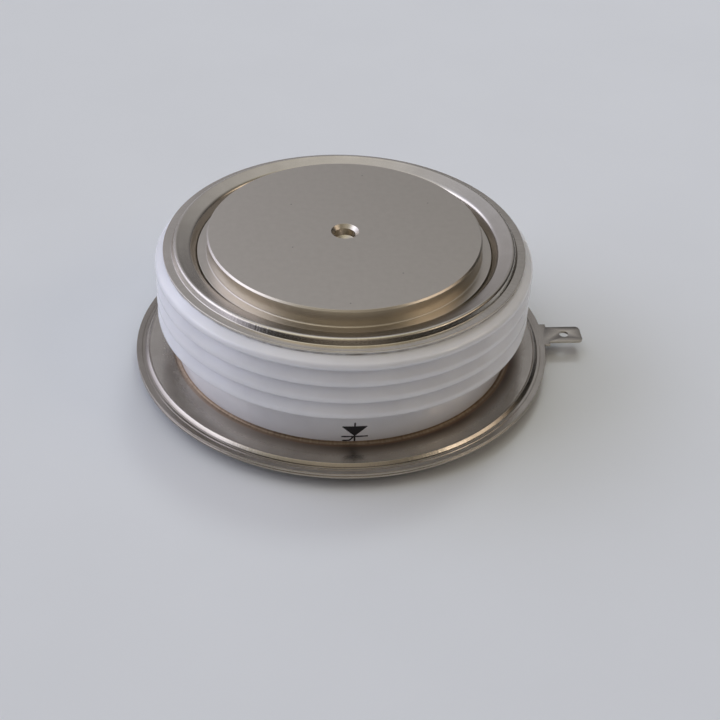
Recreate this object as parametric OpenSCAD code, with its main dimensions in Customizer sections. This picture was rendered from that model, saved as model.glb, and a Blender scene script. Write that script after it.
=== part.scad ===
// Disc thyristor in a sealed ceramic capsule, clamped between two heat sinks in use.
// It stands on its cathode face: contact faces at the bottom and the top, a finned
// insulator between them, a wide welded flange low down, and two blade terminals.
// Millimetres, +Z up, origin at the centre of the cathode contact face.

/* [Capsule] */
// Height from one contact face to the other
capsule_h = 26.5; // [26.2:0.1:28]
// Diameter of the wide flange, where the capsule is welded shut
flange_d = 75.2; // [74.6:0.1:78]
// Thickness of the anode diaphragm's sheet
anode_sheet_t = 0.4; // [0.3:0.05:0.45]
// Thickness of each of the two welded cathode sheets
cathode_sheet_t = 0.45; // [0.35:0.05:0.5]
// Height of the welded seam between those two sheets, above the cathode face
seam_h = 2.83; // [2.7:0.01:2.95]
// Step between the flange's welded edge and its inner part
flange_dish = 0.42; // [0.3:0.02:0.5]
// Radial width of the flange's flat welded edge
weld_w = 1.45; // [1.2:0.05:1.8]

/* [Contact faces] */
// Diameter of each contact face
face_d = 48.26; // [46:0.02:49]
// Chamfer round each contact face
face_chamfer = 0.3; // [0.2:0.05:0.6]
// Depth from a contact face down to the shoulder round it
shoulder_depth = 3.2; // [3:0.1:3.4]
// Diameter of that shoulder
shoulder_d = 51.7; // [51:0.1:51.8]
// Thickness of that shoulder
shoulder_t = 0.8; // [0.7:0.05:1]
// Diameter of the centring hole in each contact face
centring_d = 3.68; // [3.2:0.02:4]
// Depth of the centring hole's full diameter, from the contact face
centring_depth = 1.93; // [1.6:0.01:2.2]
// Diameter of the countersink at the centring hole's mouth
countersink_d = 4.9; // [4.4:0.1:5.4]

/* [Diaphragms] */
// Radius where each sheet starts to rise out of the groove round the shoulder
groove_r = 25.98; // [25.95:0.01:26.1]
// Radius of the lip where the sheet rolls over from the groove
lip_r = 26.75; // [26.65:0.05:26.85]
// Depth of that lip below the contact face
lip_depth = 2.1; // [1.9:0.1:2.2]
// Radius of the crest that runs round the sheet
crest_r = 29.75; // [29.4:0.05:29.8]
// Depth of that crest below the contact face
crest_depth = 1.3; // [1.2:0.05:1.45]
// Diameter of the anode diaphragm's flat rim, brazed to the insulator
rim_d = 63.54; // [63:0.02:64]
// Depth of that rim's upper side below the anode face
rim_depth = 2.45; // [2.4:0.05:2.6]

/* [Insulator] */
// Diameter over the fins
fin_d = 66.6; // [66:0.1:68]
// Diameter in the grooves between the fins
fin_groove_d = 64.8; // [64:0.1:65.2]
// Diameter of the plain band below the fins
band_d = 60.4; // [60:0.1:61]
// Diameter of the bore
bore_d = 55.2; // [55:0.1:55.8]
// Number of fins
fin_count = 4; // [3:1:4]
// Distance from one fin to the next
fin_pitch = 3.3; // [3.1:0.05:3.4]
// Height of the upright land above each fin's lower edge
fin_land = 0.9; // [0.8:0.05:1]
// Height of each fin's slope, from its land up to the groove below the next fin
fin_slope_h = 1.85; // [1.6:0.05:1.95]

/* [Blade terminals] */
// Width of a terminal blade
blade_w = 4.6; // [4.4:0.05:4.8]
// Length of a terminal blade beyond its shoulders
blade_l = 6.3; // [6:0.1:7]
// Width over the shoulders at a blade's root
root_w = 6.4; // [6:0.1:7]
// Distance from the capsule's axis to those shoulders' outer edge
root_reach = 38.6; // [38.4:0.1:39.4]
// Diameter of the latching hole in a blade
blade_hole_d = 1.7; // [1.4:0.05:1.8]
// Distance from the shoulders to the latching hole's centre
blade_hole_reach = 3.05; // [2.8:0.05:3.4]
// Direction of the cathode blade, turned anticlockwise from +X
cathode_blade_angle = 5.5; // [0:0.5:30]

/* [Silicon and molybdenum] */
// Height of the cathode pole piece
cathode_pole_h = 11.2; // [11:0.1:11.6]
// Thickness of the cathode molybdenum disc
cathode_disc_t = 1.0; // [0.8:0.1:1.2]
// Diameter of the cathode molybdenum disc
cathode_disc_d = 35; // [34:0.1:36]
// Thickness of the silicon wafer
wafer_t = 0.6; // [0.5:0.05:0.7]
// Diameter of the silicon wafer on its wide anode side
wafer_d = 38.4; // [38:0.1:39]
// Thickness of the anode molybdenum disc
anode_disc_t = 2.6; // [2.4:0.1:2.8]
// Diameter of the anode molybdenum disc and of the pole pieces' inner ends
stack_d = 40; // [39.6:0.1:40.4]

/* [Gate lead-out] */
// Height of the gate lead above the cathode face
gate_h = 7.4; // [7.2:0.1:7.6]
// Diameter of the gate pin that passes through the insulator
pin_d = 1.5; // [1.3:0.05:1.7]
// Diameter of the bare gate lead
lead_d = 1.0; // [0.8:0.05:1.1]
// Outer diameter of the insulating sleeve on the lead
sleeve_d = 2.0; // [1.8:0.1:2.1]
// Width of the slot that takes the lead through the cathode pole piece
slot_w = 2.4; // [2.3:0.1:2.8]

/* [Gate contact] */
// Outer diameter of the insulating cup in the cathode pole piece
cup_d = 7.0; // [6.8:0.1:7.4]
// Wall thickness of that cup
cup_wall = 0.8; // [0.7:0.05:0.85]
// Wire diameter of the gate spring
spring_wire_d = 0.4; // [0.3:0.02:0.44]
// Mean diameter of the gate spring
spring_mean_d = 3.4; // [3.2:0.1:3.6]
// Turns of the gate spring
spring_turns = 4; // [3:0.5:4]

/* [Hidden] */
$fn = 128;

// A cut passes this far through the faces that it opens
cut = 1;
// Widest step of a rounded corner's outline, in degrees
arc_step = 10;

// Sheets and shoulders
flange_r = flange_d / 2;
weld_foot_r = flange_r - weld_w;
weld_step_w = 0.45;
sheet_corner_r = 0.15;
sheet_roll_r = 0.55;
lip_roll_r = 0.7;
fold_inner_r = 0.05;
crest_foot_w = 0.5;
rim_flat_w = 1.47;
neck_r = 22;
step_foot_r = 0.25;
flange_bore_r = bore_d / 2 - 0.4;
cathode_blade_start = weld_foot_r + 0.3;

// The coined ridge beside the weld
ridge_h = 0.2;
ridge_w = 0.35;
ridge_flank_w = 0.35;
ridge_overhang = 0.15;
ridge_crest_r = 0.2;
ridge_sink = 0.1;

// Heights of the stack, from the cathode face upwards
wafer_z = cathode_pole_h + cathode_disc_t;
anode_disc_z = wafer_z + wafer_t;
anode_pole_z = anode_disc_z + anode_disc_t;
pole_step_h = 1.4;

// Insulator
ceramic_bottom = seam_h + cathode_sheet_t + flange_dish;
ceramic_top = capsule_h - rim_depth - anode_sheet_t;
end_neck_d = rim_d - 0.5;
end_neck_h = 0.35;
end_slope_h = 1.15;
fin_edge_r = 0.22;
fin_shoulder_r = 0.9;
fin_root_r = 0.3;
fin_underside_rise = 0.1;
band_corner_r = 0.3;
band_underside_rise = 0.5;
band_root_r = 0.8;

// Centring ring round the stack
ring_wall = 1.9;

// Wafer bevel and its rubber bead
wafer_bevel = 0.5;
seal_drop = 0.35;
seal_lip_w = 0.4;
seal_lip_slant = 0.2;
seal_inset = 0.15;
seal_corner_r = 0.3;

// Gate lead-out through the insulator
eyelet_sleeve_d = pin_d + 1.5;
eyelet_flange_d = pin_d + 3.7;
eyelet_flange_t = 0.5;
eyelet_neck_d = pin_d + 1;
eyelet_neck_h = 0.9;
eyelet_inner_y = bore_d / 2 + 0.3;
spotface_d = eyelet_flange_d + 0.4;
spotface_y = band_d / 2 - 0.4;
pin_inner_y = 25.5;
pin_outer_y = 35;
pin_flat_y = 31.6;
terminal_start_y = pin_flat_y + 0.1;
terminal_t = 0.5;
terminal_stem_w = 2.8;
slot_play = 0.1;
sleeve_gap = 0.1;
lead_bare_l = 0.5;
blade_corner_r = 0.9;
root_depth = 1.1;

// Gate contact in its cup
cup_r = cup_d / 2;
cup_floor_z = gate_h - 2.2;
cup_floor_t = 0.6;
cup_top = wafer_z - 0.1;
cup_ledge_z = gate_h + 0.8;
cup_foot_r = 1.75;
washer_t = 0.4;
stem_d = 1.4;
stem_play = 0.1;
crimp_w = 2.0;
crimp_h = 1.2;
crimp_grip = 0.1;
head_d = 4.8;
head_t = 0.6;
tip_d = 3.0;
head_z = wafer_z - 1.3;
spring_steps = 20;
spring_sides = 8;
drill_tip_h = 1.1;

// Colours
nickel = "#918c87";
nickel_dark = "#87827c";
alumina = "#dfe0e8";
molybdenum = "#7c7f84";
silicon_grey = "#4b515c";
fluoropolymer = "#e8e6e0";
seal_rubber = "#8a3b2c";
silver_wire = "#b9b5ad";
spring_steel = "#9a9a98";

function unit(v) = v / norm(v);
function flat(p) = [p[0], p[1]];
function reversed(v) = [for (i = [len(v) - 1 : -1 : 0]) v[i]];
function turn(a) = a > 180 ? a - 360 : a < -180 ? a + 360 : a;

// Points of a corner b, rounded to radius r, on the way from a to c
function corner(a, b, c, r) =
    r == 0 ? [b] :
    let (
        u = unit(a - b),
        w = unit(c - b),
        half = acos(u * w) / 2,
        centre = b + unit(u + w) * r / sin(half),
        first = b + u * r / tan(half) - centre,
        last = b + w * r / tan(half) - centre,
        start = atan2(first[1], first[0]),
        sweep = turn(atan2(last[1], last[0]) - start),
        steps = max(1, ceil(abs(sweep) / arc_step))
    )
    [for (i = [0 : steps]) centre + r * [cos(start + sweep * i / steps), sin(start + sweep * i / steps)]];

// An open line through [x, y, corner radius] points
function rounded_line(p) = [
    for (i = [0 : len(p) - 1])
        let (ends = i == 0 || i == len(p) - 1)
        for (q = ends ? [flat(p[i])] : corner(flat(p[i - 1]), flat(p[i]), flat(p[i + 1]), p[i][2])) q
];

// A closed outline through [x, y, corner radius] points
function rounded_loop(p) = [
    for (i = [0 : len(p) - 1])
        let (before = p[(i + len(p) - 1) % len(p)], after = p[(i + 1) % len(p)])
        for (q = corner(flat(before), flat(p[i]), flat(after), p[i][2])) q
];

// The same line moved sideways by d, to the left of its direction
function moved_line(p, d) = [
    for (i = [0 : len(p) - 1])
        let (
            before = unit(p[max(i, 1)] - p[max(i, 1) - 1]),
            after = unit(p[min(i + 1, len(p) - 1)] - p[min(i, len(p) - 2)]),
            side = unit([-before[1] - after[1], before[0] + after[0]])
        )
        p[i] + side * d / (side * [-before[1], before[0]])
];

// Section of a formed sheet, given the line of its outer side
module sheet_section(line, t) {
    outer = rounded_line(line);
    polygon(concat(outer, reversed(moved_line(outer, -t))));
}

// Outer side of a diaphragm from the pole piece out to its crest, contact face at y = 0
function convolution() = [
    [neck_r, -shoulder_depth - shoulder_t, 0],
    [groove_r, -shoulder_depth - shoulder_t, sheet_corner_r],
    [lip_r, -lip_depth, lip_roll_r],
    [crest_r, -crest_depth, sheet_roll_r]
];

// Outer side of the flange's edge, for a sheet that lies on a seam at height y
function weld_edge(seam) = [
    [weld_foot_r - weld_step_w, seam + cathode_sheet_t + flange_dish, cathode_sheet_t + fold_inner_r],
    [weld_foot_r, seam + cathode_sheet_t, sheet_corner_r],
    [flange_r, seam + cathode_sheet_t, 0]
];

// Section of the coined ridge that the welding die leaves beside the seam
module weld_ridge(seam) {
    top = seam + cathode_sheet_t + flange_dish + ridge_h;
    crest_out = weld_foot_r - weld_step_w + ridge_overhang;
    crest_in = crest_out - ridge_w;
    polygon(rounded_loop([
        [crest_in - ridge_flank_w, top - ridge_h - ridge_sink, 0],
        [crest_in - ridge_flank_w, top - ridge_h, 0],
        [crest_in, top, sheet_corner_r],
        [crest_out, top, ridge_crest_r],
        [weld_foot_r - fold_inner_r, seam + cathode_sheet_t, 0],
        [weld_foot_r - weld_step_w, seam + cathode_sheet_t, 0]
    ]));
}

// Blank of a blade terminal along +X, from the given distance out to its tip
module blade_blank(from, stem_w) {
    tip = root_reach + blade_l;
    difference() {
        union() {
            translate([from, -stem_w / 2]) square([root_reach - from, stem_w]);
            translate([root_reach - root_depth, -root_w / 2]) square([root_depth, root_w]);
            translate([root_reach - root_depth, -blade_w / 2])
                square([blade_l + root_depth - blade_corner_r, blade_w]);
            translate([tip - 2 * blade_corner_r, blade_corner_r - blade_w / 2])
                square([2 * blade_corner_r, blade_w - 2 * blade_corner_r]);
            for (side = [-1, 1])
                translate([tip - blade_corner_r, side * (blade_w / 2 - blade_corner_r)])
                    circle(r = blade_corner_r);
        }
        translate([root_reach + blade_hole_reach, 0]) circle(d = blade_hole_d);
    }
}

// A turned pole piece of length l, contact face at z = 0 and inner end below it
module pole_piece(l) {
    face_r = face_d / 2;
    shoulder_r = shoulder_d / 2;
    difference() {
        rotate_extrude() polygon(rounded_loop([
            [0, 0, 0],
            [face_r - face_chamfer, 0, 0],
            [face_r, -face_chamfer, 0],
            [face_r, -shoulder_depth, step_foot_r],
            [shoulder_r, -shoulder_depth, 0],
            [shoulder_r, -shoulder_depth - shoulder_t, 0],
            [neck_r, -shoulder_depth - shoulder_t, 0],
            [neck_r, pole_step_h - l, 0],
            [stack_d / 2, pole_step_h - l, 0],
            [stack_d / 2, -l, 0],
            [0, -l, 0]
        ]));
        centring_hole();
    }
}

// Drilled and countersunk hole, mouth at z = 0
module centring_hole() {
    sink_h = (countersink_d - centring_d) / 2;
    translate([0, 0, -centring_depth]) cylinder(d = centring_d, h = centring_depth + cut);
    translate([0, 0, -centring_depth - drill_tip_h])
        cylinder(d1 = 0, d2 = centring_d, h = drill_tip_h);
    translate([0, 0, -sink_h])
        cylinder(d1 = centring_d, d2 = countersink_d + 2 * cut, h = sink_h + cut);
}

// Lays a part that stands on z = 0 along +Y at the gate lead's height, starting y from the axis
module along_lead(y) {
    translate([0, y, gate_h]) rotate([-90, 0, 0]) children();
}

module anode_pole_piece() {
    color(nickel) translate([0, 0, capsule_h]) pole_piece(capsule_h - anode_pole_z);
}

module anode_diaphragm() {
    rim = [
        [rim_d / 2 - rim_flat_w, -rim_depth, sheet_corner_r],
        [rim_d / 2, -rim_depth, 0]
    ];
    color(nickel) translate([0, 0, capsule_h])
        rotate_extrude() sheet_section(concat(convolution(), rim), anode_sheet_t);
}

module cathode_diaphragm() {
    foot = [[crest_r + crest_foot_w, cathode_sheet_t + flange_dish - seam_h, sheet_corner_r]];
    color(nickel) mirror([0, 0, 1]) rotate_extrude() {
        sheet_section(concat(convolution(), foot, weld_edge(-seam_h)), cathode_sheet_t);
        weld_ridge(-seam_h);
    }
}

module cathode_weld_flange() {
    inner = [[flange_bore_r, ceramic_bottom, 0]];
    color(nickel) {
        rotate_extrude() {
            sheet_section(concat(inner, weld_edge(seam_h)), cathode_sheet_t);
            weld_ridge(seam_h);
        }
        rotate([0, 0, cathode_blade_angle]) translate([0, 0, seam_h])
            linear_extrude(cathode_sheet_t) blade_blank(cathode_blade_start, root_w);
    }
}

// Height of the lower edge of fin k, counted down from the top
function fin_edge(k) = ceramic_top - end_neck_h - end_slope_h - fin_land - k * fin_pitch;

// Outline of one fin, from its lower edge up to the foot of the one above
function fin(k) =
    let (
        edge = fin_edge(k),
        shelf = edge + fin_land + (k == 0 ? end_slope_h : fin_slope_h),
        neck_d = k == 0 ? end_neck_d : fin_groove_d,
        neck_top = k == 0 ? ceramic_top : fin_edge(k - 1) + fin_underside_rise
    )
    [
        [fin_d / 2, edge, fin_edge_r],
        [fin_d / 2, edge + fin_land, fin_shoulder_r],
        [neck_d / 2, shelf, k == 0 ? sheet_corner_r : fin_root_r],
        [neck_d / 2, neck_top, k == 0 ? 0 : fin_root_r]
    ];

module ceramic_insulator() {
    lowest = fin_edge(fin_count - 1);
    fins = [for (k = [fin_count - 1 : -1 : 0]) for (p = fin(k)) p];
    color(alumina) difference() {
        rotate_extrude() polygon(rounded_loop(concat(
            [
                [bore_d / 2, ceramic_bottom, band_corner_r],
                [band_d / 2, ceramic_bottom, band_corner_r],
                [band_d / 2, lowest + band_underside_rise, band_root_r]
            ],
            fins,
            [[bore_d / 2, ceramic_top, band_corner_r]]
        )));
        along_lead(bore_d / 2 - cut) cylinder(d = eyelet_sleeve_d, h = band_d);
        along_lead(spotface_y) cylinder(d = spotface_d, h = band_d);
    }
}

module cathode_pole_piece() {
    floor_z = gate_h - sleeve_d / 2 - slot_play;
    color(nickel) difference() {
        mirror([0, 0, 1]) pole_piece(cathode_pole_h);
        translate([0, 0, cup_floor_z]) cylinder(d = cup_d, h = capsule_h);
        translate([-slot_w / 2, 0, floor_z]) cube([slot_w, neck_r + cut, capsule_h]);
    }
}

module anode_molybdenum_disc() {
    color(molybdenum) translate([0, 0, anode_disc_z]) cylinder(d = stack_d, h = anode_disc_t);
}

module silicon_wafer() {
    color(silicon_grey) translate([0, 0, wafer_z])
        cylinder(d1 = wafer_d - 2 * wafer_bevel, d2 = wafer_d, h = wafer_t);
}

module wafer_edge_seal() {
    top = anode_disc_z;
    inner_r = wafer_d / 2 - wafer_bevel;
    outer_r = stack_d / 2 - seal_inset;
    color(seal_rubber) rotate_extrude() polygon(rounded_loop([
        [wafer_d / 2, top, 0],
        [inner_r, wafer_z, 0],
        [inner_r - seal_lip_w, wafer_z, 0],
        [inner_r - seal_lip_slant, wafer_z - seal_drop, sheet_corner_r],
        [outer_r, wafer_z - seal_drop, seal_corner_r],
        [outer_r, top, 0]
    ]));
}

module cathode_molybdenum_disc() {
    color(molybdenum) translate([0, 0, cathode_pole_h]) difference() {
        cylinder(d = cathode_disc_d, h = cathode_disc_t);
        translate([0, 0, -cut]) cylinder(d = cup_d, h = cathode_disc_t + 2 * cut);
    }
}

module centring_ring() {
    bottom = cathode_pole_h - pole_step_h;
    ring_h = anode_pole_z + pole_step_h - bottom;
    color(fluoropolymer) translate([0, 0, bottom]) difference() {
        cylinder(d = stack_d + 2 * ring_wall, h = ring_h);
        translate([0, 0, -cut]) cylinder(d = stack_d, h = ring_h + 2 * cut);
    }
}

module gate_eyelet() {
    color(nickel_dark) difference() {
        union() {
            along_lead(eyelet_inner_y)
                cylinder(d = eyelet_sleeve_d, h = spotface_y - eyelet_inner_y);
            along_lead(spotface_y) cylinder(d = eyelet_flange_d, h = eyelet_flange_t);
            along_lead(spotface_y + eyelet_flange_t)
                cylinder(d = eyelet_neck_d, h = eyelet_neck_h);
        }
        along_lead(bore_d / 2 - cut) cylinder(d = pin_d, h = band_d);
    }
}

module gate_pin() {
    color(nickel_dark) difference() {
        along_lead(pin_inner_y) cylinder(d = pin_d, h = pin_outer_y - pin_inner_y);
        translate([-pin_d, pin_flat_y, gate_h]) cube([2 * pin_d, pin_outer_y, pin_d]);
    }
}

module gate_terminal() {
    color(nickel) translate([0, 0, gate_h]) rotate([0, 0, 90])
        linear_extrude(terminal_t) blade_blank(terminal_start_y, terminal_stem_w);
}

module gate_lead() {
    start = crimp_w / 2 - crimp_grip;
    color(silver_wire) difference() {
        union() {
            along_lead(start) cylinder(d = lead_d, h = pin_inner_y - start);
            translate([0, 0, gate_h]) cube([crimp_w, crimp_w, crimp_h], center = true);
        }
        translate([0, 0, gate_h - crimp_h]) cylinder(d = stem_d, h = 2 * crimp_h);
    }
}

module gate_lead_sleeve() {
    start = cup_r + sleeve_gap;
    color(fluoropolymer) difference() {
        along_lead(start) cylinder(d = sleeve_d, h = pin_inner_y - lead_bare_l - start);
        along_lead(start - cut) cylinder(d = lead_d, h = pin_inner_y);
    }
}

module gate_insulator_cup() {
    color(fluoropolymer) difference() {
        translate([0, 0, cup_floor_z]) cylinder(d = cup_d, h = cup_top - cup_floor_z);
        translate([0, 0, cup_floor_z + cup_floor_t]) cylinder(r = cup_foot_r, h = capsule_h);
        translate([0, 0, cup_ledge_z]) cylinder(r = cup_r - cup_wall, h = capsule_h);
        translate([-lead_d / 2, 0, gate_h - lead_d / 2]) cube([lead_d, cup_d, capsule_h]);
    }
}

module gate_spring_washer() {
    color(nickel_dark) translate([0, 0, cup_ledge_z]) difference() {
        cylinder(r = cup_r - cup_wall, h = washer_t);
        translate([0, 0, -cut]) cylinder(d = stem_d + 2 * stem_play, h = washer_t + 2 * cut);
    }
}

// Centre of the spring's wire after the given number of steps
function spring_point(i, z0, z1) =
    let (a = 360 * i / spring_steps, part = i / (spring_steps * spring_turns))
    [spring_mean_d / 2 * cos(a), spring_mean_d / 2 * sin(a), z0 + (z1 - z0) * part];

// Point on the wire's surface, b degrees round from the outward side
function spring_skin(i, b, z0, z1) =
    let (
        a = 360 * i / spring_steps,
        rise = (z1 - z0) / spring_turns,
        along = unit([-sin(a), cos(a), rise / (PI * spring_mean_d)]),
        out = [cos(a), sin(a), 0]
    )
    spring_point(i, z0, z1) + spring_wire_d / 2 * (cos(b) * out + sin(b) * cross(out, along));

module gate_spring() {
    z0 = cup_ledge_z + washer_t + spring_wire_d / 2;
    z1 = head_z - spring_wire_d / 2;
    last = spring_steps * spring_turns;
    skin = [for (i = [0 : last]) for (s = [0 : spring_sides - 1])
        spring_skin(i, 360 * s / spring_sides, z0, z1)];
    walls = [for (i = [0 : last - 1]) for (s = [0 : spring_sides - 1])
        let (t = (s + 1) % spring_sides)
        [i * spring_sides + s, i * spring_sides + t,
            (i + 1) * spring_sides + t, (i + 1) * spring_sides + s]];
    first_cap = [for (s = [spring_sides - 1 : -1 : 0]) s];
    last_cap = [for (s = [0 : spring_sides - 1]) last * spring_sides + s];
    color(spring_steel) polyhedron(skin, concat(walls, [first_cap, last_cap]));
}

module gate_contact() {
    foot_z = gate_h - crimp_h / 2;
    color(molybdenum) {
        translate([0, 0, foot_z]) cylinder(d = stem_d, h = wafer_z - foot_z);
        translate([0, 0, head_z]) cylinder(d = head_d, h = head_t);
        translate([0, 0, head_z]) cylinder(d = tip_d, h = wafer_z - head_z);
    }
}

anode_pole_piece();
anode_diaphragm();
ceramic_insulator();
cathode_weld_flange();
cathode_diaphragm();
cathode_pole_piece();
anode_molybdenum_disc();
silicon_wafer();
wafer_edge_seal();
cathode_molybdenum_disc();
centring_ring();
gate_eyelet();
gate_pin();
gate_terminal();
gate_lead();
gate_lead_sleeve();
gate_insulator_cup();
gate_spring_washer();
gate_spring();
gate_contact();
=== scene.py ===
import math

import bmesh
import bpy
from mathutils import Matrix, Vector
from mathutils.geometry import tessellate_polygon


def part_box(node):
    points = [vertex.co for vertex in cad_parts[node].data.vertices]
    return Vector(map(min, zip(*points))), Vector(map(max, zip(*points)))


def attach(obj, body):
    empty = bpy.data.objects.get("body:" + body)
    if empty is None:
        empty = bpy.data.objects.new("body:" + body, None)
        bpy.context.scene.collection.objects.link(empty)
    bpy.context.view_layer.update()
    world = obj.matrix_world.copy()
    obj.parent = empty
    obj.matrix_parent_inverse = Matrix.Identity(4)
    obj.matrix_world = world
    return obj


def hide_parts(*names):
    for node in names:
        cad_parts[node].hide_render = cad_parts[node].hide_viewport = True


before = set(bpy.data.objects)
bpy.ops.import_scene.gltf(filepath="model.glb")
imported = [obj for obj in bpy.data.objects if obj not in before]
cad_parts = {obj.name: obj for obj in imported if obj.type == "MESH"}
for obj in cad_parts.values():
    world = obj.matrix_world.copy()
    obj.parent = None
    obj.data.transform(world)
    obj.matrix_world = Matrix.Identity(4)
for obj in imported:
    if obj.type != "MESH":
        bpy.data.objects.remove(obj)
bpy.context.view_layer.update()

MM = 0.001
BODY = "root"

# Heights and radii that the CAD parts in model.glb give
capsule_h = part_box("anode_pole_piece")[1].z / MM
anode_pole_l = capsule_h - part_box("anode_pole_piece")[0].z / MM
cathode_pole_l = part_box("cathode_pole_piece")[1].z / MM
shoulder_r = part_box("anode_pole_piece")[1].x / MM
stack_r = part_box("anode_molybdenum_disc")[1].x / MM
anode_rim_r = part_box("anode_diaphragm")[1].x / MM
ceramic_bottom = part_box("ceramic_insulator")[0].z / MM
ceramic_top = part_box("ceramic_insulator")[1].z / MM
fin_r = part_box("ceramic_insulator")[1].x / MM
flange_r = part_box("cathode_diaphragm")[1].x / MM
seam_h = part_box("cathode_weld_flange")[0].z / MM
blade_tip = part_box("gate_terminal")[1].y / MM
gate_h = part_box("gate_terminal")[0].z / MM

# Pole pieces
face_r = 24.13
face_chamfer = 0.3
face_edge_r = 0.06
shoulder_depth = 3.2
shoulder_t = 0.8
shoulder_foot_r = 0.25
neck_r = 22
pole_step_h = 1.4
centring_r = 1.84
centring_depth = 1.93
drill_tip_h = 1.1
countersink_r = 2.45
turned_edge_r = 0.05
lapped_skin = 0.03

# Drawn sheets
anode_sheet_t = 0.4
cathode_sheet_t = 0.45
rim_edge_rounds = (0.1, 0.1)
welded_edge_rounds = (0.08, 0.2)
groove_r = 25.98
groove_corner_r = 0.15
crest_foot_r = 30.25
crest_foot_round = 0.15
flange_bore_r = 27.2
flange_dish = 0.42
weld_foot_r = flange_r - 1.45
weld_foot_round = 0.15
weld_step_w = 0.45
weld_step_round = cathode_sheet_t + 0.05

# Bends of the drawn sheets, from the groove outwards: radius, height above the face, corner radius
groove_wall = (26.0, -3.35, 0.25)
lip = (26.95, -2.1, 1.2)
crest = (29.75, -1.3, 0.55)
anode_rim = ((30.3, -2.45, 0.15), (anode_rim_r, -2.45, 0))

# Coined ridge beside the seam, from its foot outwards, and the fine line of the die on the rim
ridge_foot_r = 35.15
ridge_crest_r = (35.36, 35.48)
ridge_h = 0.2
ridge_round = 0.08
ridge_flank_r = 35.93
ridge_flank_drop = 0.22
ridge_flank_round = 0.1
ridge_toe_w = 0.12
ridge_toe_round = 0.06
die_line_r = 36.5
die_line_h = 0.05

# Insulator
bore_r = 27.6
band_r = 30.2
groove_between_fins_r = 32.4
end_neck_r = 31.52
end_neck_h = 0.35
fin_count = 4
fin_pitch = 3.3
fin_land = 0.9
fin_slope_h = 1.85
end_slope_h = 1.15
fin_edge_round = 0.28
fin_shoulder_round = 1.5
fin_root_round = 0.35
fin_underside_rise = 0.1
lowest_underside_rise = 0.5
lowest_root_round = 0.8
end_shoulder_round = 1.0
end_neck_round = 0.15
ground_corner_round = 0.3

# Braze bead at the insulator's foot: radius, height above the foot, corner radius
braze_bead = ((29.8, 0.001, 0), (30.75, 0.001, 0), (30.38, 0.12, 0.2), (30.25, 0.45, 0.02),
              (30.1, 0.45, 0))

# Blade terminals
root_reach = 38.6
root_w = 6.4
root_depth = 1.1
blade_w = 4.6
blade_corner_r = 0.9
blade_hole_r = 0.85
blade_hole_reach = 3.05
blade_t = 0.45
blade_edge_r = 0.06
root_corner_round = 0.15
stem_corner_round = 0.1
cathode_blade_start = weld_foot_r + 0.3
cathode_blade_angle = math.radians(5.5)
gate_blade_t = 0.5
gate_stem_start = 31.7
gate_stem_w = 2.8

# Gate lead-out, and the recess for the gate contact
gate_lead_h = 7.4
gate_hole_r = 1.5
spotface_r = 2.8
spotface_y = 29.8
cup_r = 3.5
cup_floor_z = 5.2
slot_w = 2.4
slot_reach = 30
slot_floor_z = 6.3

# Zones of finish and of painted shade, as radii where they start and end, and the sides of the
# flange where its painted shade and its hatching are strongest
brazed_strip = (30.9, 31.3)
foot_painted_shade_radii = (31.3, 34.2)
rim_painted_shade_radii = (35.5, 35.9)
painted_shade_side = (0.8, -0.6, 0)
hatch_side = (0.2, -0.98, 0)
flux_line = (31.55, 31.68)
flux_h = 0.5

# How finely pieces are made: steps of rings and roundings, and the distance from a rounding's end
# to the point that keeps the flat beside it flat
RING_SEGMENTS = 256
ROD_SIDES = 48
HOLE_SIDES = 40
ARC_STEP = math.radians(9)
ARC_SUPPORT = 0.035
SHARP_EDGE = math.radians(32)
TOOL_OVERRUN = 1


def linear(code):
    """An sRGB hex colour as the linear RGBA that Blender's sockets take."""
    parts = [int(code[i:i + 2], 16) / 255 for i in (1, 3, 5)]
    return [c / 12.92 if c <= 0.04045 else ((c + 0.055) / 1.055) ** 2.4 for c in parts] + [1.0]


def add(tree, kind, inputs=None, **settings):
    """Adds a node; inputs give each socket a value or the output that feeds it."""
    made = tree.nodes.new(kind)
    for name, value in settings.items():
        setattr(made, name, value)
    for key, value in (inputs or {}).items():
        if isinstance(value, bpy.types.NodeSocket):
            tree.links.new(value, made.inputs[key])
        else:
            made.inputs[key].default_value = value
    return made


def corner(before, at, after, radius):
    """Points of one corner of an outline, rounded, with a support point on each side."""
    at = Vector(at)
    if radius == 0:
        return [at]
    u = (Vector(before) - at).normalized()
    w = (Vector(after) - at).normalized()
    half = u.angle(w) / 2
    reach = radius / math.tan(half)
    centre = at + (u + w).normalized() * radius / math.sin(half)
    first = at + u * reach - centre
    last = at + w * reach - centre
    sweep = first.angle_signed(last)
    steps = max(2, math.ceil(abs(sweep) / ARC_STEP))
    arc = []
    for i in range(steps + 1):
        turn = Matrix.Rotation(-sweep * i / steps, 2)
        arc.append(centre + turn @ first)
    return [at + u * (reach + ARC_SUPPORT)] + arc + [at + w * (reach + ARC_SUPPORT)]


def rounded_line(points):
    """An open line through (x, y, corner radius) points."""
    flat = [p[:2] for p in points]
    line = [Vector(flat[0])]
    for i in range(1, len(points) - 1):
        line += corner(flat[i - 1], flat[i], flat[i + 1], points[i][2])
    return line + [Vector(flat[-1])]


def rounded_loop(points):
    """A closed outline through (x, y, corner radius) points."""
    flat = [p[:2] for p in points]
    count = len(points)
    return [q for i in range(count)
            for q in corner(flat[i - 1], flat[i], flat[(i + 1) % count], points[i][2])]


def moved_line(line, distance):
    """The same line moved sideways, to the right of its direction."""
    moved = []
    for i, at in enumerate(line):
        before = (line[max(i, 1)] - line[max(i, 1) - 1]).normalized()
        after = (line[min(i + 1, len(line) - 1)] - line[min(i, len(line) - 2)]).normalized()
        right = Vector((before.y + after.y, -before.x - after.x)).normalized()
        moved.append(at + right * distance / right.dot(Vector((before.y, -before.x))))
    return moved


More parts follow.
